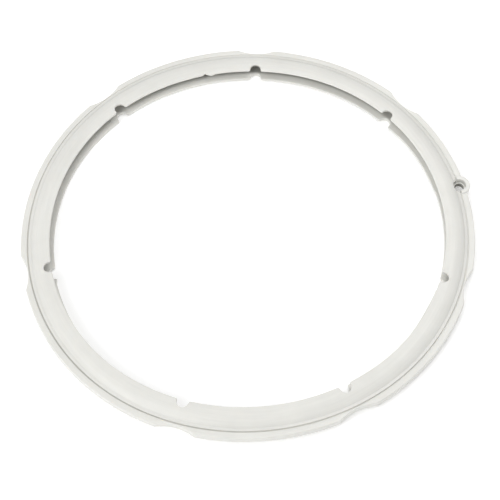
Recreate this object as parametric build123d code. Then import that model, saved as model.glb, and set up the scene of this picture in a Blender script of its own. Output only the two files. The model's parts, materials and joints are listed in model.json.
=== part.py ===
from build123d import *
from math import sqrt
import os

# Sealing ring for the lid of a stovetop pressure cooker, moulded in one piece of silicone.
# Millimetres. The ring's axis is Z, its resting face is at Z 0, and the lug is on +X.

# Flange, the collar that the lid's rim holds
flange_diameter = 240.0
flange_thickness = 4.8
flange_lift = 2.1          # air under the flange, down to the resting face
body_inset = 4.0           # the body's outer wall, inside the flange's edge

# Groove and strip on top, between the flange and the upper lip
groove_inset = 3.55        # the groove's centre line, inside the flange's edge
groove_width = 0.8
groove_depth = 1.1
strip_width = 1.45

# Upper lip, one crowned arc from the strip to the bore
upper_lip_reach = 10.2     # from the strip's inner edge to the lip's bore
crown_reach = 7.0          # from the strip's inner edge to the top of the crown
crown_rise = 2.4
upper_lip_tip = 1.35       # thickness at the bore

# Lower lip and the channel between the two lips, which opens to the middle
lower_lip_overlap = 1.5    # how much further in the lower lip reaches
lower_lip_tip = 1.4
lower_lip_rise = 0.9       # the tip's underside, above the resting face
channel_height = 3.8
web_thickness = 3.6        # from the channel's root to the body's outer wall
foot_width = 8.5           # the flat ring that the part rests on

# Edges
edge_radius = 0.5
foot_edge_radius = 1.1
channel_root_radius = 1.8

# Scallops in the flange and notches in both lips, in pairs either side of the lug
pair_angles = (30, 75, 120)
scallop_chord = 20.5       # width at the flange's edge
scallop_rim = 0.6          # flange left between the scallop and the groove
notch_width = 6.0
notch_depth = 3.9          # into each lip, from its bore
notch_flare = 1.0          # radius of the mouth's corners

# Lug with the stepped hole for the lid's locating pin
lug_radius = 5.7
lug_inset = 3.0            # the hole's axis, inside the flange's edge
lug_rise = 0.9             # above the flange
lug_edge_radius = 0.7
lug_bore_diameter = 6.8
lug_bore_depth = 2.9       # from the lug's top to the step
lug_hole_diameter = 5.0

# Places that follow from these sizes
flange_radius = flange_diameter / 2
shelf_height = flange_lift + flange_thickness
body_radius = flange_radius - body_inset
groove_radius = flange_radius - groove_inset
groove_inner = groove_radius - groove_width / 2
groove_outer = groove_radius + groove_width / 2
valley_radius = groove_inner - strip_width
crown_radius = valley_radius - crown_reach
upper_bore_radius = valley_radius - upper_lip_reach
lower_bore_radius = upper_bore_radius - lower_lip_overlap
crown_arc_radius = (crown_reach**2 + crown_rise**2) / (2 * crown_rise)
crown_to_bore = crown_radius - upper_bore_radius
tip_drop = crown_arc_radius - sqrt(crown_arc_radius**2 - crown_to_bore**2)
crown_height = shelf_height + crown_rise
tip_height = crown_height - tip_drop
root_radius = body_radius - web_thickness
root_floor = shelf_height - channel_height
foot_outer = body_radius - foot_edge_radius
foot_inner = foot_outer - foot_width
pattern_angles = [*pair_angles, 180, *(-angle for angle in pair_angles)]


def ring_section():
    """The ring's cross-section in the XZ plane, drawn round from the upper lip's tip."""
    tip_top = (upper_bore_radius, tip_height)
    tip_under = (upper_bore_radius, tip_height - upper_lip_tip)
    lower_tip_top = (lower_bore_radius, lower_lip_rise + lower_lip_tip)
    lower_tip_under = (lower_bore_radius, lower_lip_rise)
    crown = (crown_radius, crown_height)
    valley = (valley_radius, shelf_height)
    groove_bottom = (groove_radius, shelf_height - groove_depth)
    groove_arc_height = shelf_height - groove_depth + groove_width / 2
    flange_top = (flange_radius, shelf_height)
    flange_under = (flange_radius, flange_lift)
    body_top = (body_radius, flange_lift)
    body_foot = (body_radius, 0)
    foot_edge = (foot_inner, 0)
    channel_floor = (root_radius, root_floor)
    channel_roof = (root_radius, shelf_height)
    outline = [
        ThreePointArc(tip_top, crown, valley),
        Polyline(valley, (groove_inner, shelf_height), (groove_inner, groove_arc_height)),
        ThreePointArc((groove_inner, groove_arc_height), groove_bottom, (groove_outer, groove_arc_height)),
        Polyline((groove_outer, groove_arc_height), (groove_outer, shelf_height), flange_top, flange_under),
        Polyline(flange_under, body_top, body_foot, foot_edge, lower_tip_under, lower_tip_top),
        Polyline(lower_tip_top, channel_floor, channel_roof, tip_under, tip_top),
    ]
    section = make_face(outline)
    rounded = [
        (channel_root_radius, [channel_floor, channel_roof]),
        (edge_radius, [tip_top, tip_under, lower_tip_top, lower_tip_under, flange_top, flange_under, body_top]),
        (foot_edge_radius, [body_foot, foot_edge]),
    ]
    for radius, corners in rounded:
        picked = [section.vertices().sort_by_distance(corner)[0] for corner in corners]
        section = fillet(picked, radius)
    return Plane.XZ * section


def scallop_cutter():
    """A round cutter that leaves the named rim outside the groove and the named chord at the edge."""
    floor_radius = groove_outer + scallop_rim
    half_chord = scallop_chord / 2
    sagitta = sqrt(flange_radius**2 - half_chord**2) - floor_radius
    cut_radius = (half_chord**2 + sagitta**2) / (2 * sagitta)
    return Pos(floor_radius + cut_radius, 0, shelf_height / 2) * Cylinder(cut_radius, 2 * shelf_height)


def notch_cutter(lip_bore, low, high):
    """A round-ended notch into one lip, its mouth's corners flared, between two heights."""
    end_radius = notch_width / 2
    end_centre = lip_bore + notch_depth - end_radius
    flare_centre = lip_bore + notch_flare
    past_end = max(0, flare_centre - end_centre)
    flare_side = sqrt((end_radius + notch_flare)**2 - past_end**2)
    share = end_radius / (end_radius + notch_flare)
    flare_end = (flare_centre - past_end * (1 - share), flare_side * share)
    bottom = (end_centre + end_radius, 0)
    mouth = (lip_bore, flare_side)
    inside = lip_bore - notch_flare
    outline = [
        Polyline(bottom, (inside, 0), (inside, flare_side), mouth),
        TangentArc(mouth, flare_end, tangent=(0, -1)),
    ]
    if past_end > 0:
        outline.append(TangentArc(bottom, flare_end, tangent=(0, 1)))
    else:
        outline.append(Line(flare_end, (end_centre, end_radius)))
        outline.append(TangentArc(bottom, (end_centre, end_radius), tangent=(0, 1)))
    half = make_face(outline)
    return Pos(0, 0, low) * extrude(half + mirror(half, Plane.XZ), high - low)


def lug_collar():
    """The lug's round collar, kept outside the groove."""
    top = shelf_height + lug_rise
    collar = Cylinder(lug_radius, top - flange_lift)
    collar = fillet(collar.edges().sort_by(Axis.Z)[-1], lug_edge_radius)
    collar = Pos(flange_radius - lug_inset, 0, (top + flange_lift) / 2) * collar
    return collar - Cylinder(groove_outer, 2 * top)


def lug_hole():
    """The stepped hole: a bore down to the step, and a smaller hole on through."""
    top = shelf_height + lug_rise
    bore = Cylinder(lug_bore_diameter / 2, 2 * lug_bore_depth)
    hole = Cylinder(lug_hole_diameter / 2, 2 * top)
    return Pos(flange_radius - lug_inset, 0, top) * (bore + hole)


def sealing_ring():
    """The whole ring: revolved section, lug, stepped hole, scallops and notches."""
    ring = revolve(ring_section(), Axis.Z) + lug_collar() - lug_hole()
    mid_channel = (tip_height - upper_lip_tip + lower_lip_rise + lower_lip_tip) / 2
    cutters = [
        scallop_cutter(),
        notch_cutter(upper_bore_radius, mid_channel, 2 * crown_height),
        notch_cutter(lower_bore_radius, -crown_height, mid_channel),
    ]
    for angle in pattern_angles:
        ring -= [Rot(0, 0, angle) * cutter for cutter in cutters]
    return ring


os.makedirs("parts", exist_ok=True)
export_step(sealing_ring(), "parts/sealing_ring.step")
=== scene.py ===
"""Moulded sealing ring for the lid of a pressure cooker, its silicone and a plain studio.

Runs as a script in Blender 4.5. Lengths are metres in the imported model's own frame: the ring's
axis is Z, its resting face is at Z 0 and its lug is on +X.
"""

import json
import math

import bpy
from mathutils import Matrix, Vector, noise


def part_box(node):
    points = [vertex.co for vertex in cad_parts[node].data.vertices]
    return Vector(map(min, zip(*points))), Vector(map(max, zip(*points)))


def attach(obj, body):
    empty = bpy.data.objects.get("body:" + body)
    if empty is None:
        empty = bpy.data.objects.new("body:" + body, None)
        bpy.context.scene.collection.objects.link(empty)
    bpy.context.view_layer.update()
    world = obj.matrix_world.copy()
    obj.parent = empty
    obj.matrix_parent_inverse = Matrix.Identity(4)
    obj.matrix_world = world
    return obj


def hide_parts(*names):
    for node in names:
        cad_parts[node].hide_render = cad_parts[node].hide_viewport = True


bl_info = {
    "name": "Sealing Ring",
    "version": (1, 0, 0),
    "blender": (4, 5, 0),
    "location": "View3D > Sidebar > Sealing Ring",
    "description": "Models the sealing ring of a pressure cooker lid and a plain studio for it",
    "category": "Add Mesh",
}

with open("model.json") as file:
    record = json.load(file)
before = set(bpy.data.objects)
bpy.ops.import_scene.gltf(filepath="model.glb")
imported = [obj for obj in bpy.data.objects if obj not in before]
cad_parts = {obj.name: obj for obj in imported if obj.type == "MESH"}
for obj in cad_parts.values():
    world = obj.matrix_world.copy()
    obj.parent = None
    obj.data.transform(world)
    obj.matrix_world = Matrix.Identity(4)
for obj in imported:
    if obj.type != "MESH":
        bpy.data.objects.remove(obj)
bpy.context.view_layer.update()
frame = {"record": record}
RING_LOW, RING_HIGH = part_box("sealing_ring")
MOUNTS = {mount["name"]: mount for mount in frame["record"]["mounts"]}
PIN_HOLE = MOUNTS["locating_hole"]
PIN_SEAT = MOUNTS["pin_head_seat"]
MM = 0.001

# Points closer than TOUCH are one point. SLACK eases the tests of where on the section a point is.
TOUCH = 0.002 * MM
SLACK = 0.01 * MM

# Rays that carry a scallop in the flange and a notch in each lip, in degrees from the lug. Each
# has what its upper notch gains in depth, and how far its two notches wander round in degrees.
RAYS = {
    30: (0.0, 0.0, 0.0),
    75: (0.0, -0.1, -0.1),
    120: (0.1 * MM, 0.0, 0.0),
    180: (0.3 * MM, 0.45, 0.8),
    240: (0.2 * MM, 0.0, -0.9),
    285: (0.5 * MM, 0.1, 0.1),
    330: (0.5 * MM, 0.0, -0.7),
}

# The soft ring lies a little out of round: lobes round the ring, height of each, and turn in degrees.
RING_LOBES = ((2, 0.42 * MM, 21), (3, 0.19 * MM, 70), (4, 0.26 * MM, 213))
LIP_LOBES = ((2, 0.33 * MM, -8),)

# Stretches of the ring: the middle, how far either side of it the stretch is at full strength, and
# how far off it has faded out, in degrees.
FAR_SIDE = (50, 45, 120)
# Where the channel gets its strongest painted shade, and where its mouth gets painted shade on the far
# left.
DARK_CHANNEL = (68, 12, 72)
GREY_CHANNEL = (150, 16, 56)

# Humps in the upper lip's edge: middle and width in degrees, and how far they move the edge out.
NICK = (90.8, 0.6, 1.1 * MM)
FLAP = (88.8, 1.1, -0.7 * MM)
SAG = (85, 25, -0.35 * MM)

# Ragged trim: middle and width in degrees, waves to a degree, place in the noise, and its size.
UPPER_RAGS = (91, 4, 2.2, (0, 7), 0.6 * MM)
LOWER_RAGS = (93, 2.5, 2.7, (3, 1), 0.4 * MM)

# How deep into each lip the faults of its edge are felt, and how deep the upper lip's sag is.
UPPER_FAULT_DEPTH = 1.6 * MM
LOWER_FAULT_DEPTH = 5 * MM
SAG_DEPTH = 9 * MM

# Lengths of the lower lip's edge that are trimmed back: where each starts, over how many degrees it
# comes in, where it ends, over how many degrees it goes out, and how far the edge is trimmed.
LOWER_TRIMS = (
    (-42, 16, 20, 8, 0.8 * MM),
    (-42, 16, 0.6, 1.2, 0.5 * MM),
    (182.5, 2, 218, 12, 0.64 * MM),
)

# How the cuts leave the surface beside them.
SCALLOP_SQUEEZE = 0.35  # how much narrower the rounded edge gets at a scallop's bottom
NOTCH_PULL_TOP = 0.8 * MM  # kept clear of the strip, where a notch pulls the lip's top
NOTCH_PULL_ROOT = 2 * MM  # kept clear of the channel's root
NOTCH_PULL_FOOT = 0.2 * MM  # kept clear of the foot's edge
WANDER_FADE = 2.4  # how sharply a notch's wander fades towards the end of its window
GROOVE_ROUND = 0.49  # the groove's bottom radius, as a share of its width
GROOVE_ZONE = 2 * MM  # how far under the flange's top the groove is looked for
FAR_GROOVE_FILL = 0.45  # how much shallower the groove is on the far side
HOLE_EASE = 0.25 * MM  # radius of the edges in the stepped hole

# How strongly shade is painted into the creases, the channel and the stepped hole, from 0 to 1.
CHANNEL_MARK = 0.35  # deep in the channel, all round
DARK_CHANNEL_MARK = 0.6  # added to it where the channel is darkest
GREY_CHANNEL_MARK = 0.2  # at its mouth, on the far left
CHANNEL_MOUTH = 0.18  # share of the channel's depth at which the deep mark begins
CHANNEL_FADE = 0.3  # share of the depth over which it comes in
LIP_FOOT_MARK = 0.08  # where the upper lip meets the strip, all round
FAR_LIP_FOOT_MARK = 0.2  # added to it on the far side
LIP_FOOT_WIDTH = 0.2 * MM  # either side of where the upper lip meets the strip
FAR_STRIP_MARK = 0.1  # on the strip, on the far side
SEAT_WALL_MARK = 0.5  # on the wall of the seat for the pin's head

# How finely the surface is divided.
CROWN_STEPS = 18
CHANNEL_ROWS = 9
SCALLOP_STEPS = 24  # from a scallop's middle to its corner
RAY_STEPS = 30  # the same steps, from a ray to the end of its fine sector
NOTCH_STEPS = 17  # the same steps, from a notch's middle to the end of its window
COARSE_STEP = math.radians(0.8)
LUG_STEPS = 96
CORE_STEPS = 1440
CREASE_ANGLE = math.radians(26)

# How far red, green and blue light travel in the rubber, against its depth.
GLOW_TINT = (1.0, 0.92, 0.8)
SMOOTHER = 0.06  # how far the grain lowers the roughness
ROUGHER = 0.08  # and how far it raises it

# Softboxes: azimuth and elevation in degrees, distance from the ring's middle, and width.
SOFTBOXES = {
    "window": (-150, 41, 1.5, 0.9),
    "back": (60, 40, 1.5, 0.9),
    "top": (30, 66, 0.7, 0.4),
    "sheen": (-150, 64, 1.0, 0.25),
}
SENSOR_WIDTH = 36  # millimetres, which the lens is meant for
CLIP_START = 0.01


def length(name, description, default):
    """A length that Blender shows in the scene's own unit."""
    return bpy.props.FloatProperty(
        name=name, description=description, default=default, unit="LENGTH", precision=5
    )


def angle(name, description, degrees):
    """An angle, given in degrees and kept in radians."""
    return bpy.props.FloatProperty(
        name=name, description=description, default=math.radians(degrees), unit="ROTATION"
    )


def amount(name, description, default):
    """A plain number that is never negative."""
    return bpy.props.FloatProperty(name=name, description=description, default=default, min=0)


def share(name, description, default):
    """A plain number from 0 to 1."""
    return bpy.props.FloatProperty(name=name, description=description, default=default, min=0, max=1)


def colour(name, description, default):
    """A colour with no alpha, in linear light."""
    return bpy.props.FloatVectorProperty(
        name=name, description=description, default=default, subtype="COLOR", size=3, min=0, max=1
    )


class RingSizes(bpy.types.PropertyGroup):
    """Sizes of the ring's section, of its cuts and of its lug."""

    flange_radius: length("Flange Radius", "From the ring's axis to the flange's edge", RING_HIGH.y)
    flange_thickness: length("Flange Thickness", "From the flange's underside to its top", 4.8 * MM)
    flange_lift: length("Flange Lift", "Air under the flange", 2.1 * MM)
    body_inset: length("Body Inset", "From the flange's edge in to the body's wall", 4 * MM)
    groove_inset: length("Groove Inset", "From the flange's edge in to the groove", 3.55 * MM)
    groove_width: length("Groove Width", "Across the groove", 0.8 * MM)
    groove_depth: length("Groove Depth", "From the flange's top to the groove's bottom", 1.1 * MM)
    strip_width: length("Strip Width", "Flat strip between the groove and the lip", 1.45 * MM)
    lip_reach: length("Lip Reach", "From the strip in to the upper lip's edge", 10.2 * MM)
    crown_reach: length("Crown Reach", "From the strip in to the top of the crown", 7 * MM)
    upper_tip: length("Upper Tip", "Thickness of the upper lip at its edge", 1.35 * MM)
    lower_overlap: length("Lower Overlap", "How much further in the lower lip reaches", 1.5 * MM)
    lower_tip: length("Lower Tip", "Thickness of the lower lip at its edge", 1.4 * MM)
    lower_rise: length("Lower Rise", "From the resting face up to the lower lip's edge", 0.9 * MM)
    channel_height: length("Channel Height", "Between the lips, at the channel's root", 3.8 * MM)
    web: length("Web", "From the channel's root to the body's wall", 3.6 * MM)
    foot_width: length("Foot Width", "Flat ring that the part rests on", 8.5 * MM)
    edge: length("Edge", "Radius of the lips' and the flange's edges", 0.5 * MM)
    foot_edge: length("Foot Edge", "Radius of the foot's edges", 1.1 * MM)
    root: length("Root", "Radius of the channel's corners", 1.8 * MM)
    groove_lip: length("Groove Lip", "Radius of the groove's edges", 0.1 * MM)
    parting_ridge: length("Parting Ridge", "How far the mould's parting line stands out", 0.08 * MM)
    scallop_chord: length("Scallop Chord", "Width of a scallop at the flange's edge", 20.5 * MM)
    scallop_rim: length("Scallop Rim", "Flange left between a scallop and the groove", 0.6 * MM)
    notch_width: length("Notch Width", "Across a notch", 6 * MM)
    notch_depth: length("Notch Depth", "Into each lip, from its edge", 3.9 * MM)
    notch_flare: length("Notch Flare", "Radius of the corners at a notch's mouth", 1 * MM)
    lug_radius: length("Lug Radius", "Radius of the lug's collar", 5.7 * MM)
    lug_rise: length("Lug Rise", "How far the lug stands above the flange", 0.9 * MM)
    lug_shoulder: length("Lug Shoulder", "Radius of the lug's upper edge", 0.6 * MM)
    lug_foot: length("Lug Foot", "Radius where the lug meets the flange", 0.3 * MM)


class SiliconeFinish(bpy.types.PropertyGroup):
    """Colours and surface of the moulded silicone."""

    pale: colour("Pale", "The rubber's main tone", (0.766, 0.762, 0.726))
    milky: colour("Milky", "Tone of its cloudy patches", (0.729, 0.725, 0.69))
    # Painted shade: the skin's colour is mixed towards this dark tone wherever shade is painted.
    shade_tone: colour("Crease", "Tone deep in the channel, the hole and the creases", (0.3, 0.295, 0.272))
    roughness: share("Roughness", "Roughness of the moulded skin", 0.36)
    glow: share("Glow", "How much of the light travels inside the rubber", 0.2)
    depth: length("Depth", "How far that light travels", 2.5 * MM)
    bending: amount("Bending", "Index of refraction of silicone", 1.41)
    cloud_scale: amount("Cloud Scale", "How fine the cloudy patches are", 55)
    grain_scale: amount("Grain Scale", "How fine the matt grain is", 2600)
    mark_scale: amount("Mark Scale", "How close the turned mould marks lie", 330)
    relief: length("Relief", "Height of the grain and of the mould marks", 0.03 * MM)
    streak_scale: amount("Streak Scale", "How fine the streaks are across the ring", 900)
    streak_run: length("Streak Run", "How far a radian round the ring counts in a streak", 3.5 * MM)
    streak_dark: amount("Streak Dark", "Tone of the darkest streaks", 0.972)
    streak_pale: amount("Streak Pale", "Tone of the palest streaks", 1.018)


class StudioSetup(bpy.types.PropertyGroup):
    """The camera, the lights and the floor."""

    azimuth: angle("Azimuth", "Where the camera stands, round the ring from the lug", -100.6)
    elevation: angle("Elevation", "How high the camera stands above the ring", 60.02)
    distance: length("Distance", "From the camera to the point it looks at", 0.6911)
    roll: angle("Roll", "Turn of the camera about its own line of sight", -2.217)
    lens: bpy.props.FloatProperty(
        name="Lens",
        description="Focal length in millimetres",
        default=94.66,
        min=1,
        subtype="DISTANCE_CAMERA",
    )
    aim_across: length("Aim Across", "The looked-at point, along X", -1.39 * MM)
    aim_along: length("Aim Along", "The looked-at point, along Y", -13.54 * MM)
    sky: amount("Sky", "Light from all round", 0.55)
    window: amount("Window", "Large softbox to the left of the camera, in watts", 8.5)
    back: amount("Back", "Softbox behind the ring, in watts", 0.8)
    top: amount("Top", "Small softbox above the lug's side, in watts", 1.4)
    sheen: amount("Sheen", "Small softbox high above the camera's left, in watts", 0.5)
    floor: colour("Floor", "Colour of the pale floor", (0.95, 0.95, 0.95))
    floor_width: length("Floor Width", "Across the floor", 6)
    floor_roughness: share("Floor Roughness", "Roughness of the floor", 0.9)
    floor_sheen: share("Floor Sheen", "How much the floor mirrors", 0.1)
    floor_glow: amount("Floor Glow", "Light that comes up through the floor", 0.2)


class Section:
    """Places in the ring's cross-section, as radius and height, worked out from its sizes."""

    def __init__(self, sizes):
        self.sizes = sizes
        self.shelf = sizes.flange_lift + sizes.flange_thickness
        self.body = sizes.flange_radius - sizes.body_inset
        groove = sizes.flange_radius - sizes.groove_inset
        self.groove_inner = groove - sizes.groove_width / 2
        self.groove_outer = groove + sizes.groove_width / 2
        self.valley = self.groove_inner - sizes.strip_width
        self.crown = self.valley - sizes.crown_reach
        self.upper_bore = self.valley - sizes.lip_reach
        self.lower_bore = self.upper_bore - sizes.lower_overlap
        self.channel_root = self.body - sizes.web
        self.foot_outer = self.body - sizes.foot_edge
        self.foot_inner = self.foot_outer - sizes.foot_width
        self.crown_top = RING_HIGH.z
        rise = self.crown_top - self.shelf
        self.crown_arc = (sizes.crown_reach**2 + rise**2) / (2 * rise)
        self.mid_channel = (self.lip_under(self.upper_bore) + self.channel_floor(self.lower_bore)) / 2

    def lip_top(self, radius):
        """Height of the upper lip's crowned top."""
        run = min(radius, self.valley) - self.crown
        return self.crown_top - self.crown_arc + math.sqrt(self.crown_arc**2 - run**2)

    def lip_under(self, radius):
        """Height of the upper lip's underside, the channel's roof."""
        tip = self.lip_top(self.upper_bore) - self.sizes.upper_tip
        run = (radius - self.upper_bore) / (self.channel_root - self.upper_bore)
        return tip + (self.shelf - tip) * run

    def channel_floor(self, radius):
        """Height of the lower lip's top, the channel's floor."""
        tip = self.sizes.lower_rise + self.sizes.lower_tip
        run = (radius - self.lower_bore) / (self.channel_root - self.lower_bore)
        return tip + (self.shelf - self.sizes.channel_height - tip) * run

    def foot_height(self, radius):
        """Height of the underside, sloping up from the foot to the lower lip's edge."""
        run = (self.foot_inner - radius) / (self.foot_inner - self.lower_bore)
        return self.sizes.lower_rise * max(0.0, run)


class Notch:
    """Outline of a notch in one lip, from above, in a frame whose X runs out along its ray."""

    def __init__(self, bore, sizes, depth_gain, half_window):
        self.bore = bore
        self.end = sizes.notch_width / 2
        self.flare = sizes.notch_flare
        self.end_place = bore + sizes.notch_depth + depth_gain - self.end
        reach = bore + self.flare
        spread = self.end + self.flare
        across = (reach**2 + self.end_place**2 - spread**2) / (2 * self.end_place)
        self.flare_centre = Vector((across, math.sqrt(reach**2 - across**2)))
        self.end_sweep = math.atan2(self.flare_centre.y, across - self.end_place)
        self.flare_ray = math.atan2(self.flare_centre.y, across)
        self.end_length = self.end * self.end_sweep
        self.flare_length = self.flare * (self.end_sweep - self.flare_ray)
        self.length = self.end_length + self.flare_length + bore * (half_window - self.flare_ray)

    def place(self, portion, inset):
        """The point at a portion of the half outline, from the notch's bottom, sunk into the rubber."""
        along = portion * self.length
        if along < self.end_length:
            turn = along / self.end
            return Vector((self.end_place, 0)) + polar(self.end + inset, turn)
        along -= self.end_length
        if along < self.flare_length:
            turn = math.pi + self.end_sweep - along / self.flare
            return self.flare_centre + polar(self.flare - inset, turn)
        along -= self.flare_length
        return polar(self.bore + inset, self.flare_ray + along / self.bore)


def polar(radius, turn):
    """A point in the plane from its radius and angle."""
    return Vector((radius * math.cos(turn), radius * math.sin(turn)))


def smooth_step(value):
    """Eases a value from 0 to 1, and holds it outside that range."""
    held = min(1.0, max(0.0, value))
    return held * held * (3 - 2 * held)


def ring_angle(degrees, centre):
    """The angle from a centre, in degrees from -180 to 180."""
    return (degrees - centre + 180) % 360 - 180


def hump(degrees, centre, width):
    """A smooth hump round the ring, 1 at its centre and almost nothing two widths away."""
    return math.exp(-((ring_angle(degrees, centre) / width) ** 2))


def near(degrees, centre, full, none):
    """How near an angle is to a stretch of the ring: 1 within the full angle, 0 past the other."""
    return smooth_step((none - abs(ring_angle(degrees, centre))) / (none - full))


def between(degrees, start, come_in, end, go_out):
    """1 between two angles round the ring, easing in after the start and out after the end."""
    rest = ring_angle(degrees, start)
    return smooth_step(rest / come_in) * (1 - smooth_step((rest - (end - start)) / go_out))


# Modelling helpers ------------------------------------------------------------------------------


def deselect_all():
    """Leaves nothing selected, so that an operator acts only on what is added next."""
    if bpy.context.object and bpy.context.object.mode != "OBJECT":
        bpy.ops.object.mode_set(mode="OBJECT")
    bpy.ops.object.select_all(action="DESELECT")


def start_point(name, radius, height):
    """A new object in edit mode, with one selected vertex in the XZ plane."""
    deselect_all()
    bpy.ops.mesh.primitive_plane_add(size=MM, location=(radius, 0, height))
    piece = bpy.context.object
    piece.name = piece.data.name = name
    bpy.ops.object.transform_apply(location=True, rotation=True, scale=True)
    bpy.ops.object.mode_set(mode="EDIT")
    bpy.ops.mesh.merge(type="CENTER")
    return piece


def draw_line(start, *corners):
    """Extrudes the selected vertex from one corner of the section to the next."""
    for corner in corners:
        move = (corner[0] - start[0], 0, corner[1] - start[1])
        bpy.ops.mesh.extrude_region_move(TRANSFORM_OT_translate={"value": move})
        start = corner


def draw_arc(start, end, centre, steps):
    """Spins the selected vertex about a centre, clockwise in the XZ plane, from start to end."""
    first = math.atan2(start[1] - centre[1], start[0] - centre[0])
    last = math.atan2(end[1] - centre[1], end[0] - centre[0])
    bpy.ops.mesh.spin(
        steps=steps, angle=first - last, center=(centre[0], 0, centre[1]), axis=(0, -1, 0)
    )


def select_where(piece, test):
    """Selects the vertices whose place passes the test, and returns to edit mode."""
    bpy.ops.object.mode_set(mode="EDIT")
    bpy.ops.mesh.select_mode(type="VERT")
    bpy.ops.mesh.select_all(action="DESELECT")
    bpy.ops.object.mode_set(mode="OBJECT")
    for vertex in piece.data.vertices:
        vertex.select = test(vertex.co)
    bpy.ops.object.mode_set(mode="EDIT")


def round_corner(piece, before, corner, after, radius, segments):
    """Bevels one corner of a drawn section to a radius, from its two neighbours."""
    place = Vector(corner)
    turn = (place - Vector(before)).angle(Vector(after) - place)
    select_where(piece, lambda co: (Vector((co.x, co.z)) - place).length < TOUCH)
    bpy.ops.mesh.bevel(
        offset=radius * math.tan(turn / 2), segments=segments, affect="VERTICES", profile=0.5
    )


def cut_or_join(piece, tool, operation):
    """Applies a boolean with another piece, and removes that piece."""
    deselect_all()
    piece.select_set(True)
    bpy.context.view_layer.objects.active = piece
    modifier = piece.modifiers.new(operation.title(), "BOOLEAN")
    modifier.operation = operation
    modifier.solver = "EXACT"
    modifier.object = tool
    bpy.ops.object.modifier_apply(modifier=modifier.name)
    bpy.data.objects.remove(tool)


def turn_profile(name, centre, profile, steps):
    """A closed round piece, turned about an upright axis from a profile that starts and ends on it."""
    piece = start_point(name, centre + profile[0][0], profile[0][1])
    places = [(centre + radius, height) for radius, height in profile]
    draw_line(places[0], *places[1:])
    bpy.ops.mesh.select_all(action="SELECT")
    bpy.ops.mesh.spin(steps=steps, angle=math.tau, center=(centre, 0, 0), axis=(0, 0, 1))
    bpy.ops.mesh.select_all(action="SELECT")
    bpy.ops.mesh.remove_doubles(threshold=TOUCH)
    bpy.ops.mesh.normals_make_consistent(inside=False)
    bpy.ops.object.mode_set(mode="OBJECT")
    return piece


def corner_arc(centre, radius, start, end, steps):
    """Points of a rounded corner in a profile, between two angles in degrees."""
    turns = [math.radians(start + (end - start) * step / steps) for step in range(steps + 1)]
    return [tuple(Vector(centre) + polar(radius, turn)) for turn in turns]


# The ring ---------------------------------------------------------------------------------------


def draw_section(section, sizes):
    """The ring's section as a closed line in the XZ plane, corner by corner from the upper lip.

    Each corner has its place, the radius it is rounded to, and the segments of that rounding.
    """
    tip_top = (section.upper_bore, section.lip_top(section.upper_bore))
    tip_under = (section.upper_bore, section.lip_under(section.upper_bore))
    crown_centre = (section.crown, section.crown_top - section.crown_arc)
    valley = (section.valley, section.shelf)
    groove_floor = section.shelf - sizes.groove_depth
    ridge = sizes.flange_lift + sizes.flange_thickness / 2
    wall = sizes.flange_radius
    channel = section.shelf - sizes.channel_height
    lower_top = (section.lower_bore, section.channel_floor(section.lower_bore))
    groove_round = sizes.groove_width * GROOVE_ROUND
    corners = [
        (valley, None, 0),
        ((section.groove_inner, section.shelf), sizes.groove_lip, 2),
        ((section.groove_inner, groove_floor), groove_round, 4),
        ((section.groove_outer, groove_floor), groove_round, 4),
        ((section.groove_outer, section.shelf), sizes.groove_lip, 2),
        ((wall, section.shelf), sizes.edge, 5),
        ((wall, ridge + sizes.parting_ridge), None, 0),
        ((wall + sizes.parting_ridge, ridge), None, 0),
        ((wall, ridge - sizes.parting_ridge), None, 0),
        ((wall, sizes.flange_lift), sizes.edge, 5),
        ((section.body, sizes.flange_lift), sizes.edge, 4),
        ((section.body, 0), sizes.foot_edge, 5),
        ((section.foot_inner, 0), sizes.foot_edge, 2),
        ((section.lower_bore, sizes.lower_rise), sizes.edge, 5),
        (lower_top, sizes.edge, 5),
        ((section.channel_root, channel), sizes.root, 6),
        ((section.channel_root, section.shelf), sizes.root, 6),
        (tip_under, sizes.edge, 5),
        (tip_top, None, 0),
    ]
    places = [place for place, radius, segments in corners]
    ring = start_point("sealing_ring_moulding", *tip_top)
    draw_arc(tip_top, valley, crown_centre, CROWN_STEPS)
    draw_line(*places)
    bpy.ops.mesh.select_all(action="SELECT")
    bpy.ops.mesh.remove_doubles(threshold=TOUCH)
    for index, (place, radius, segments) in enumerate(corners):
        if radius:
            round_corner(ring, places[index - 1], place, places[index + 1], radius, segments)
    crown_start = Vector(tip_top) + Vector((sizes.edge, 0))
    crown_start.y = section.lip_top(crown_start.x)
    round_corner(ring, tip_under, tip_top, tuple(crown_start), sizes.edge, 5)
    for height in (section.lip_under, section.channel_floor):
        select_where(ring, lambda co: co.x < section.channel_root and abs(co.z - height(co.x)) < TOUCH)
        bpy.ops.mesh.subdivide(number_cuts=CHANNEL_ROWS)
    return ring


def spin_ring(profile, fine_half):
    """Spins the section once round in sectors, fine about each ray and coarse between them."""
    sectors = []
    done = 0.0
    for ray in [*RAYS, 360]:
        gap = math.radians(ray) - done - (fine_half if ray < 360 else 0)
        sectors.append(spin_sector(profile, done, gap, math.ceil(gap / COARSE_STEP)))
        done += gap
        if ray < 360:
            sectors.append(spin_sector(profile, done, 2 * fine_half, 2 * RAY_STEPS))
            done += 2 * fine_half
    deselect_all()
    for sector in sectors:
        sector.select_set(True)
    bpy.context.view_layer.objects.active = profile
    profile.select_set(True)
    bpy.ops.object.join()
    bpy.ops.object.mode_set(mode="EDIT")
    bpy.ops.mesh.select_all(action="SELECT")
    bpy.ops.mesh.remove_doubles(threshold=TOUCH)
    bpy.ops.mesh.normals_make_consistent(inside=False)
    bpy.ops.object.mode_set(mode="OBJECT")


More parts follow.
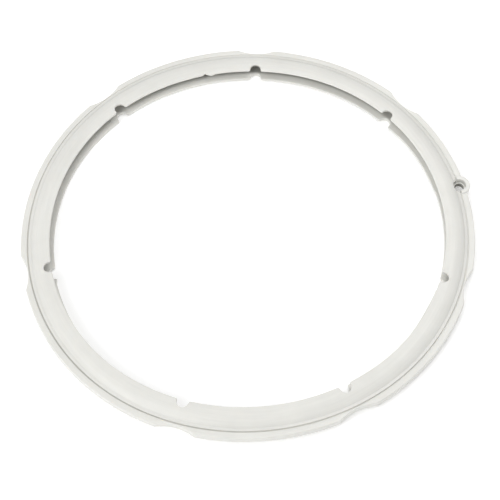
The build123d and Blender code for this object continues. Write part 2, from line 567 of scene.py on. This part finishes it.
def spin_sector(profile, start, sweep, steps):
    """A copy of the section, turned to a start angle and spun on about the ring's axis."""
    deselect_all()
    profile.select_set(True)
    bpy.context.view_layer.objects.active = profile
    bpy.ops.object.duplicate()
    sector = bpy.context.object
    sector.rotation_euler.z = start
    bpy.ops.object.transform_apply(location=True, rotation=True, scale=True)
    bpy.ops.object.mode_set(mode="EDIT")
    bpy.ops.mesh.select_all(action="SELECT")
    bpy.ops.mesh.spin(steps=steps, angle=sweep, center=(0, 0, 0), axis=(0, 0, -1))
    bpy.ops.object.mode_set(mode="OBJECT")
    return sector


def cut_scallops(ring, section, sizes, corner):
    """Presses the flange's edge in to each scallop's arc."""
    floor = section.groove_outer + sizes.scallop_rim
    half_chord = sizes.scallop_chord / 2
    depth = sizes.flange_radius * math.cos(corner) - floor
    arc = (half_chord**2 + depth**2) / (2 * depth)
    centre = floor + arc
    for vertex in ring.data.vertices:
        flat = vertex.co.to_2d()
        from_edge = sizes.flange_radius - flat.length
        if from_edge > sizes.edge + SLACK:
            continue
        turn = math.atan2(flat.y, flat.x)
        for ray in RAYS:
            rest = math.radians(ring_angle(math.degrees(turn), ray))
            if abs(rest) < corner:
                wall = centre * math.cos(rest) - math.sqrt(arc**2 - (centre * math.sin(rest)) ** 2)
                press = (sizes.flange_radius - wall) / (sizes.flange_radius - floor)
                radius = wall - from_edge * (1 - SCALLOP_SQUEEZE * press)
                vertex.co.x, vertex.co.y = polar(radius, turn)


def cut_notches(ring, section, sizes, half_window):
    """Draws the lips' edges back round each notch, keeping their rounded edges."""
    skins = {
        "top": (section.upper_bore, section.valley - NOTCH_PULL_TOP, section.lip_top),
        "roof": (section.upper_bore, section.channel_root - NOTCH_PULL_ROOT, section.lip_under),
        "floor": (section.lower_bore, section.channel_root - NOTCH_PULL_ROOT, section.channel_floor),
        "foot": (section.lower_bore, section.foot_outer - NOTCH_PULL_FOOT, section.foot_height),
    }
    notches = {}
    for ray, (gain, upper_wander, lower_wander) in RAYS.items():
        upper = Notch(section.upper_bore, sizes, gain, half_window)
        lower = Notch(section.lower_bore, sizes, 0, half_window)
        notches[ray, section.upper_bore] = (upper, math.radians(upper_wander))
        notches[ray, section.lower_bore] = (lower, math.radians(lower_wander))
    for vertex in ring.data.vertices:
        flat = vertex.co.to_2d()
        radius = flat.length
        turn = math.atan2(flat.y, flat.x)
        if radius > section.valley:
            continue
        bore, reach, height = skins[skin_of(section, radius, vertex.co.z)]
        depth = radius - bore
        if radius > reach:
            continue
        for ray in RAYS:
            rest = math.radians(ring_angle(math.degrees(turn), ray))
            if abs(rest) > half_window:
                continue
            notch, wander = notches[ray, bore]
            place = notch.place(abs(rest) / half_window, min(depth, sizes.edge))
            if depth > sizes.edge:
                outer = polar(reach, abs(rest))
                place = place.lerp(outer, (depth - sizes.edge) / (reach - bore - sizes.edge))
            lift = vertex.co.z - height(radius)
            side = math.copysign(math.atan2(place.y, place.x), rest)
            slide = wander * smooth_step(WANDER_FADE - WANDER_FADE * abs(rest) / half_window)
            slide *= 1 - smooth_step((radius - bore) / (reach - bore))
            moved = polar(place.length, math.radians(ray) + side + slide)
            vertex.co = (moved.x, moved.y, height(place.length) + lift)


def skin_of(section, radius, height):
    """Which surface of the two lips a point of the section is on."""
    if height > section.mid_channel:
        middle = (section.lip_top(radius) + section.lip_under(radius)) / 2
        return "top" if height > middle else "roof"
    middle = (section.channel_floor(radius) + section.foot_height(radius)) / 2
    return "floor" if height > middle else "foot"


def lug_collar(section, sizes, centre):
    """The lug's collar: a round boss with a soft shoulder, cut off at the groove's outer wall."""
    top = section.shelf + sizes.lug_rise
    shoulder = sizes.lug_shoulder
    foot = sizes.lug_foot
    profile = [
        (0, sizes.flange_lift),
        (sizes.lug_radius - sizes.edge, sizes.flange_lift),
        *corner_arc(
            (sizes.lug_radius - sizes.edge, sizes.flange_lift + sizes.edge), sizes.edge, -75, 0, 5
        ),
        (sizes.lug_radius, section.shelf - foot),
        *corner_arc((sizes.lug_radius - shoulder, top - shoulder), shoulder, 0, 90, 8),
        (0, top),
    ]
    collar = turn_profile("lug_collar", centre, profile, LUG_STEPS)
    inner = [
        (0, -top),
        (section.groove_outer, -top),
        (section.groove_outer, 2 * top),
        (0, 2 * top),
    ]
    core = turn_profile("groove_core", 0, inner, CORE_STEPS)
    cut_or_join(collar, core, "DIFFERENCE")
    return collar


def lug_cutter(section, sizes, centre):
    """The stepped hole: a seat for the pin's head with an eased mouth, and a hole on through."""
    top = section.shelf + sizes.lug_rise
    seat = PIN_SEAT["dims"]["r_mm"] * MM
    hole = PIN_HOLE["dims"]["r_mm"] * MM
    step = top - PIN_SEAT["dims"]["length_mm"] * MM
    ease = HOLE_EASE
    profile = [
        (0, -top),
        (hole, -top),
        (hole, step - ease),
        *corner_arc((hole + ease, step - ease), ease, 180, 90, 4),
        (seat - ease, step),
        *corner_arc((seat - ease, step + ease), ease, -90, 0, 4)[1:],
        (seat, top - ease),
        *corner_arc((seat + ease, top - ease), ease, 180, 90, 4)[1:],
        (seat + ease, 2 * top),
        (0, 2 * top),
    ]
    return turn_profile("lug_cutter", centre, profile, LUG_STEPS)


def lobes(turn, shapes):
    """How far the ring bulges out at an angle, as the sum of a few even lobes."""
    return sum(size * math.cos(count * turn + math.radians(phase)) for count, size, phase in shapes)


def relax(ring, section, sizes):
    """Gives the ring the lie of soft rubber, and its lips' trimmed edges their small faults."""
    lip_span = section.valley - section.upper_bore
    groove_middle = (section.groove_inner + section.groove_outer) / 2
    groove_reach = sizes.groove_width / 2 + 5 * SLACK
    for vertex in ring.data.vertices:
        flat = vertex.co.to_2d()
        radius = flat.length
        turn = math.atan2(flat.y, flat.x)
        degrees = math.degrees(turn)
        lip = min(1.0, max(0.0, (section.valley - radius) / lip_span))
        shift = lobes(turn, RING_LOBES) + lip * lobes(turn, LIP_LOBES)
        if vertex.co.z > section.mid_channel and radius < section.valley:
            shift += upper_edge_faults(degrees, radius - section.upper_bore)
        elif radius < section.channel_root:
            shift += lower_edge_faults(degrees, radius - section.lower_bore)
        in_groove = abs(radius - groove_middle) < groove_reach
        if in_groove and section.shelf - GROOVE_ZONE < vertex.co.z < section.shelf:
            vertex.co.z += (section.shelf - vertex.co.z) * FAR_GROOVE_FILL * near(degrees, *FAR_SIDE)
        vertex.co.x, vertex.co.y = polar(radius + shift, turn)


def paint_shade(ring, section, sizes):
    """Paints shade, from 0 to 1, into an attribute: deep in the channel, where the upper lip meets the
    strip, on the strip on the far side, and in the stepped hole.
    """
    marks = ring.data.attributes.new("crevice", "FLOAT", "POINT")
    lug = Vector((PIN_HOLE["pos_m"][0], 0))
    seat = PIN_SEAT["dims"]["r_mm"] * MM
    step = section.shelf + sizes.lug_rise - PIN_SEAT["dims"]["length_mm"] * MM
    channel = section.channel_root - section.upper_bore
    for vertex in ring.data.vertices:
        flat = vertex.co.to_2d()
        radius = flat.length
        height = vertex.co.z
        degrees = math.degrees(math.atan2(flat.y, flat.x))
        mark = 0.0
        # Painted shade in the channel, between the lips.
        if radius < section.channel_root + SLACK:
            if skin_of(section, radius, height) in ("roof", "floor"):
                mark = channel_shade(degrees, (radius - section.upper_bore) / channel)
        # Painted shade where the upper lip meets the strip, stronger on the far side, and on the far
        # side's strip.
        elif height > section.mid_channel and radius < section.groove_inner + SLACK:
            far = near(degrees, *FAR_SIDE)
            if abs(radius - section.valley) < LIP_FOOT_WIDTH:
                mark = LIP_FOOT_MARK + FAR_LIP_FOOT_MARK * far
            elif radius > section.valley:
                mark = FAR_STRIP_MARK * far
        # Painted shade in the stepped hole: full below the seat's step, and up to half on the seat's
        # wall.
        if (flat - lug).length < seat + SLACK and height < section.shelf + sizes.lug_rise / 2:
            below = (step - height) / HOLE_EASE
            mark = min(1.0, below) if below > 0 else min(SEAT_WALL_MARK, -below)
        marks.data[vertex.index].value = mark


def channel_shade(degrees, depth):
    """How much shade is painted into the channel: deep in it all round, most at the far side, and paler
    at its mouth.
    """
    deep = CHANNEL_MARK + DARK_CHANNEL_MARK * near(degrees, *DARK_CHANNEL)
    grey = GREY_CHANNEL_MARK * near(degrees, *GREY_CHANNEL)
    return grey + (deep - grey) * smooth_step((depth - CHANNEL_MOUTH) / CHANNEL_FADE)


def pushed(degrees, centre, width, size):
    """How far one hump moves the lip's edge out at an angle."""
    return size * hump(degrees, centre, width)


def ragged(degrees, centre, width, pitch, seed, size):
    """How far the ragged trim about one place moves the lip's edge out at an angle."""
    return size * hump(degrees, centre, width) * noise.noise(Vector((degrees * pitch, *seed)))


def upper_edge_faults(degrees, depth):
    """A torn nick with a flap of flash beside it, ragged trim on both sides of it, and a sag."""
    edge = 1 - smooth_step(depth / UPPER_FAULT_DEPTH)
    faults = pushed(degrees, *NICK) + pushed(degrees, *FLAP) + ragged(degrees, *UPPER_RAGS)
    return edge * faults + pushed(degrees, *SAG) * (1 - smooth_step(depth / SAG_DEPTH))


def lower_edge_faults(degrees, depth):
    """The lower lip's edge, trimmed back beside the lug and on the left, and ragged at the nick."""
    edge = 1 - smooth_step(depth / LOWER_FAULT_DEPTH)
    trimmed = sum(size * between(degrees, *place) for *place, size in LOWER_TRIMS)
    return edge * (trimmed + ragged(degrees, *LOWER_RAGS))


class SEALING_OT_ring(bpy.types.Operator):
    """Mould the whole ring from its section, with its cuts and its lug"""

    bl_idname = "sealing.ring"
    bl_label = "Mould Ring"

    def execute(self, context):
        sizes = context.scene.sealing_sizes
        section = Section(sizes)
        corner = math.asin(sizes.scallop_chord / 2 / sizes.flange_radius)
        fine_step = corner / SCALLOP_STEPS
        ring = draw_section(section, sizes)
        spin_ring(ring, fine_step * RAY_STEPS)
        cut_scallops(ring, section, sizes, corner)
        cut_notches(ring, section, sizes, fine_step * NOTCH_STEPS)
        centre = PIN_HOLE["pos_m"][0]
        cut_or_join(ring, lug_collar(section, sizes, centre), "UNION")
        cut_or_join(ring, lug_cutter(section, sizes, centre), "DIFFERENCE")
        # Paints shade into the channel, the stepped hole and the creases, as a point attribute.
        paint_shade(ring, section, sizes)
        relax(ring, section, sizes)
        deselect_all()
        ring.select_set(True)
        context.view_layer.objects.active = ring
        bpy.ops.object.shade_smooth_by_angle(angle=CREASE_ANGLE)
        ring.data.materials.clear()
        ring.data.materials.append(silicone(context.scene.sealing_finish))
        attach(ring, "root")
        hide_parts("sealing_ring")
        return {"FINISHED"}


# Materials --------------------------------------------------------------------------------------


def add_node(tree, kind, **settings):
    """A new shader node with its settings; names in capitals set its inputs."""
    node = tree.nodes.new(kind)
    for name, value in settings.items():
        if name[0].isupper():
            node.inputs[name.replace("_", " ")].default_value = value
        else:
            setattr(node, name, value)
    return node


def silicone(finish):
    """Off-white moulded silicone: cloudy tone, painted shade in its channel, hole and creases, a fine
    matt grain and faint turned mould marks.
    """
    material = bpy.data.materials.new("silicone_moulded")
    material.use_nodes = True
    tree = material.node_tree
    tree.nodes.clear()
    link = tree.links.new
    place = add_node(tree, "ShaderNodeTexCoord").outputs["Object"]
    output = add_node(tree, "ShaderNodeOutputMaterial")
    skin = add_node(
        tree,
        "ShaderNodeBsdfPrincipled",
        Roughness=finish.roughness,
        IOR=finish.bending,
        Subsurface_Weight=finish.glow,
        Subsurface_Radius=GLOW_TINT,
        Subsurface_Scale=finish.depth,
    )
    link(skin.outputs["BSDF"], output.inputs["Surface"])

    clouds = add_node(tree, "ShaderNodeTexNoise", Scale=finish.cloud_scale, Detail=3, Roughness=0.6)
    link(place, clouds.inputs["Vector"])
    pale = (*finish.pale, 1)
    milky = (*finish.milky, 1)
    tone = add_node(tree, "ShaderNodeMix", data_type="RGBA", A=pale, B=milky)
    link(remap(tree, clouds.outputs["Fac"], 0.35, 0.7, 0, 1), tone.inputs["Factor"])
    streaky = add_node(tree, "ShaderNodeMix", data_type="RGBA", blend_type="MULTIPLY", Factor=1)
    link(tone.outputs["Result"], streaky.inputs["A"])
    link(turned_streaks(tree, place, finish), streaky.inputs["B"])
    # Painted shade: the channel, the hole and the creases are darkened here towards the dark shade
    # tone.
    crevice = add_node(tree, "ShaderNodeAttribute", attribute_name="crevice")
    shaded = add_node(tree, "ShaderNodeMix", data_type="RGBA", B=(*finish.shade_tone, 1))
    link(crevice.outputs["Fac"], shaded.inputs["Factor"])
    link(streaky.outputs["Result"], shaded.inputs["A"])
    link(shaded.outputs["Result"], skin.inputs["Base Color"])

    grain = add_node(tree, "ShaderNodeTexNoise", Scale=finish.grain_scale, Detail=2, Roughness=0.55)
    link(place, grain.inputs["Vector"])
    smooth = finish.roughness - SMOOTHER
    rough = finish.roughness + ROUGHER
    link(remap(tree, grain.outputs["Fac"], 0.3, 0.7, smooth, rough), skin.inputs["Roughness"])

    marks = add_node(
        tree,
        "ShaderNodeTexWave",
        wave_type="RINGS",
        rings_direction="Z",
        Scale=finish.mark_scale,
        Distortion=1.6,
        Detail=2,
        Detail_Scale=0.6,
    )
    link(place, marks.inputs["Vector"])
    turned = add_node(tree, "ShaderNodeBump", Strength=0.2, Distance=finish.relief)
    link(marks.outputs["Fac"], turned.inputs["Height"])
    matt = add_node(tree, "ShaderNodeBump", Strength=0.25, Distance=finish.relief)
    link(grain.outputs["Fac"], matt.inputs["Height"])
    link(turned.outputs["Normal"], matt.inputs["Normal"])
    link(matt.outputs["Normal"], skin.inputs["Normal"])
    return material


def remap(tree, value, low, high, new_low, new_high):
    """Spreads a range of noise over the range that is wanted, and returns the result."""
    spread = add_node(
        tree,
        "ShaderNodeMapRange",
        From_Min=low,
        From_Max=high,
        To_Min=new_low,
        To_Max=new_high,
    )
    tree.links.new(value, spread.inputs["Value"])
    return spread.outputs["Result"]


def turned_streaks(tree, place, finish):
    """Faint streaks that run round the ring, from noise over radius, height and angle."""
    link = tree.links.new
    apart = add_node(tree, "ShaderNodeSeparateXYZ")
    link(place, apart.inputs["Vector"])
    flat = add_node(tree, "ShaderNodeVectorMath", operation="MULTIPLY")
    flat.inputs[1].default_value = (1, 1, 0)
    link(place, flat.inputs[0])
    radius = add_node(tree, "ShaderNodeVectorMath", operation="LENGTH")
    link(flat.outputs["Vector"], radius.inputs[0])
    turn = add_node(tree, "ShaderNodeMath", operation="ARCTAN2")
    link(apart.outputs["Y"], turn.inputs[0])
    link(apart.outputs["X"], turn.inputs[1])
    along = add_node(tree, "ShaderNodeMath", operation="MULTIPLY")
    along.inputs[1].default_value = finish.streak_run
    link(turn.outputs["Value"], along.inputs[0])
    together = add_node(tree, "ShaderNodeCombineXYZ")
    link(radius.outputs["Value"], together.inputs["X"])
    link(along.outputs["Value"], together.inputs["Y"])
    link(apart.outputs["Z"], together.inputs["Z"])
    streaks = add_node(tree, "ShaderNodeTexNoise", Scale=finish.streak_scale, Detail=3, Roughness=0.6)
    link(together.outputs["Vector"], streaks.inputs["Vector"])
    return remap(tree, streaks.outputs["Fac"], 0.3, 0.7, finish.streak_dark, finish.streak_pale)


def floor_paint(studio):
    """The pale floor, lit a little from below as a light table is."""
    material = bpy.data.materials.new("pale_floor")
    material.use_nodes = True
    skin = material.node_tree.nodes["Principled BSDF"]
    skin.inputs["Base Color"].default_value = (*studio.floor, 1)
    skin.inputs["Roughness"].default_value = studio.floor_roughness
    skin.inputs["Specular IOR Level"].default_value = studio.floor_sheen
    skin.inputs["Emission Color"].default_value = (1, 1, 1, 1)
    skin.inputs["Emission Strength"].default_value = studio.floor_glow
    return material


# The studio -------------------------------------------------------------------------------------


def add_camera(studio, height):
    """The camera on its arc round the ring, looking at a point at the flange's height."""
    aim = Vector((studio.aim_across, studio.aim_along, height))
    away = Vector((*polar(math.cos(studio.elevation), studio.azimuth), math.sin(studio.elevation)))
    look = (-away).to_track_quat("-Z", "Y").to_matrix()
    data = bpy.data.cameras.new("studio_camera")
    data.lens = studio.lens
    data.sensor_width = SENSOR_WIDTH
    data.clip_start = CLIP_START
    camera = bpy.data.objects.new("studio_camera", data)
    bpy.context.scene.collection.objects.link(camera)
    turn = look @ Matrix.Rotation(studio.roll, 3, "Z")
    camera.matrix_world = Matrix.Translation(aim + away * studio.distance) @ turn.to_4x4()
    bpy.context.scene.camera = camera


def add_softbox(name, azimuth, elevation, distance, size, power):
    """A square area light on an arc round the ring, given in degrees, turned to its middle."""
    flat = polar(math.cos(math.radians(elevation)), math.radians(azimuth))
    place = distance * Vector((*flat, math.sin(math.radians(elevation))))
    data = bpy.data.lights.new(name, "AREA")
    data.size = size
    data.energy = power
    softbox = bpy.data.objects.new(name, data)
    bpy.context.scene.collection.objects.link(softbox)
    softbox.location = place
    softbox.rotation_euler = (-place).to_track_quat("-Z", "Y").to_euler()


class SEALING_OT_studio(bpy.types.Operator):
    """Lay the pale floor and set up the lights and the camera"""

    bl_idname = "sealing.studio"
    bl_label = "Set Up Studio"

    def execute(self, context):
        studio = context.scene.sealing_studio
        sizes = context.scene.sealing_sizes
        deselect_all()
        bpy.ops.mesh.primitive_plane_add(size=studio.floor_width, location=(0, 0, RING_LOW.z))
        floor = context.object
        floor.name = "studio_floor"
        floor.data.materials.append(floor_paint(studio))
        world = bpy.data.worlds.new("studio_sky")
        context.scene.world = world
        world.use_nodes = True
        sky = world.node_tree.nodes["Background"]
        sky.inputs["Color"].default_value = (1, 1, 1, 1)
        sky.inputs["Strength"].default_value = studio.sky
        for name, place in SOFTBOXES.items():
            add_softbox(name + "_softbox", *place, getattr(studio, name))
        add_camera(studio, sizes.flange_lift + sizes.flange_thickness)
        context.scene.view_settings.view_transform = "Standard"
        return {"FINISHED"}


class SEALING_PT_parts(bpy.types.Panel):
    """The ring and its studio, in the order in which they are made"""

    bl_label = "Sealing Ring"
    bl_space_type = "VIEW_3D"
    bl_region_type = "UI"
    bl_category = "Sealing Ring"

    def draw(self, context):
        for operator in STEPS:
            self.layout.operator(operator.bl_idname)


STEPS = (SEALING_OT_ring, SEALING_OT_studio)
SETTINGS = {
    "sealing_sizes": RingSizes,
    "sealing_finish": SiliconeFinish,
    "sealing_studio": StudioSetup,
}


def register():
    """Registers the settings, the operators and the panel."""
    for name, group in SETTINGS.items():
        bpy.utils.register_class(group)
        setattr(bpy.types.Scene, name, bpy.props.PointerProperty(type=group))
    for made in (*STEPS, SEALING_PT_parts):
        bpy.utils.register_class(made)


def unregister():
    """Takes back what register added."""
    for made in (SEALING_PT_parts, *STEPS):
        bpy.utils.unregister_class(made)
    for name, group in SETTINGS.items():
        delattr(bpy.types.Scene, name)
        bpy.utils.unregister_class(group)


def main():
    """Makes the ring and the studio."""
    register()
    bpy.ops.sealing.ring()
    bpy.ops.sealing.studio()


if __name__ == "__main__":
    main()
